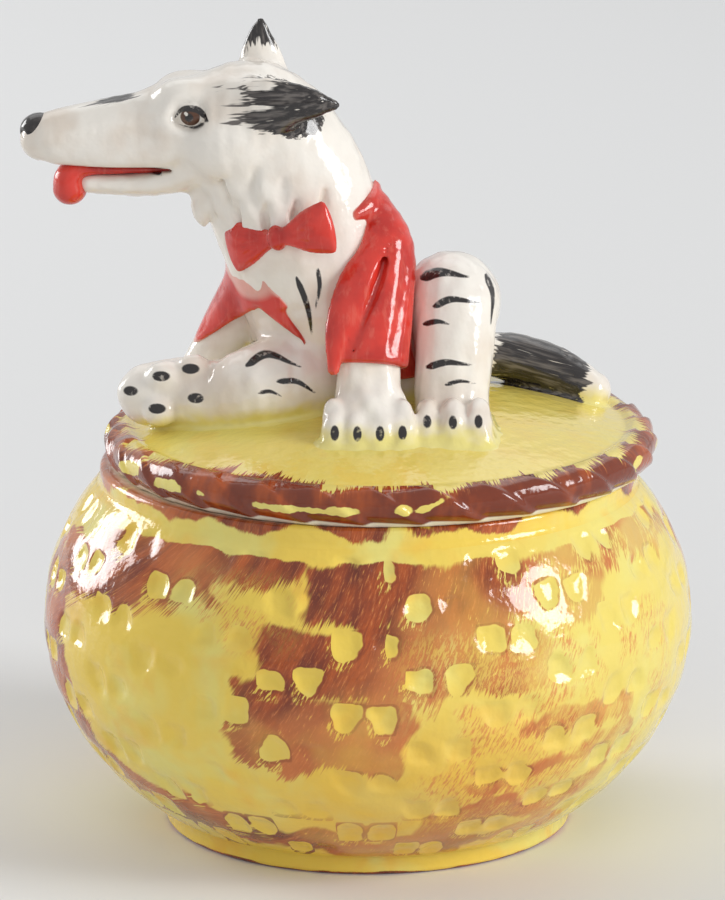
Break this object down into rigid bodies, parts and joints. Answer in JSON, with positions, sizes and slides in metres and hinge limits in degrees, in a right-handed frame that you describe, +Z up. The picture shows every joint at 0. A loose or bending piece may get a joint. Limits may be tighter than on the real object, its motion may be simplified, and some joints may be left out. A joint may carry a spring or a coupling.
{
  "type": "drip jar",
  "caption": "Squat round glazed earthenware jar with basket-weave relief and a loose domed lid, which carries a seated dog in a red coat and bow tie; holds saved kitchen drippings.",
  "frame": {"origin": "centre of the foot ring's standing face, on the bowl's axis", "axes": "+Z up along the bowl's axis; -Y towards the pictured front; +X to that view's right"},
  "size_m": [0.1338, 0.1304, 0.1626],
  "materials": {
    "yellow_glaze": "gloss",
    "brown_glaze": "gloss",
    "white_glaze": "gloss",
    "red_enamel": "gloss",
    "black_enamel": "gloss"
  },
  "bodies": {
    "jar": {"jar_bowl": "yellow_glaze", "weave_relief": "yellow_glaze"},
    "lid": {"lid_dome": "yellow_glaze", "rope_edge": "brown_glaze", "torso": "white_glaze", "coat": "red_enamel", "left_sleeve": "red_enamel", "right_sleeve": "red_enamel", "left_forepaw": "white_glaze", "right_forepaw": "white_glaze", "left_hind_leg": "white_glaze", "right_hind_leg": "white_glaze", "left_hind_foot": "white_glaze", "right_hind_foot": "white_glaze", "tail": "black_enamel", "head": "white_glaze", "left_ear": "black_enamel", "right_ear": "white_glaze", "nose": "black_enamel", "tongue": "red_enamel", "bow_tie": "red_enamel"}
  },
  "joints": [
    {"name": "lid_lift", "type": "slide", "parent": "jar", "child": "lid", "axis": [0, 0, 1], "range_m": [0, 0.1]}
  ]
}
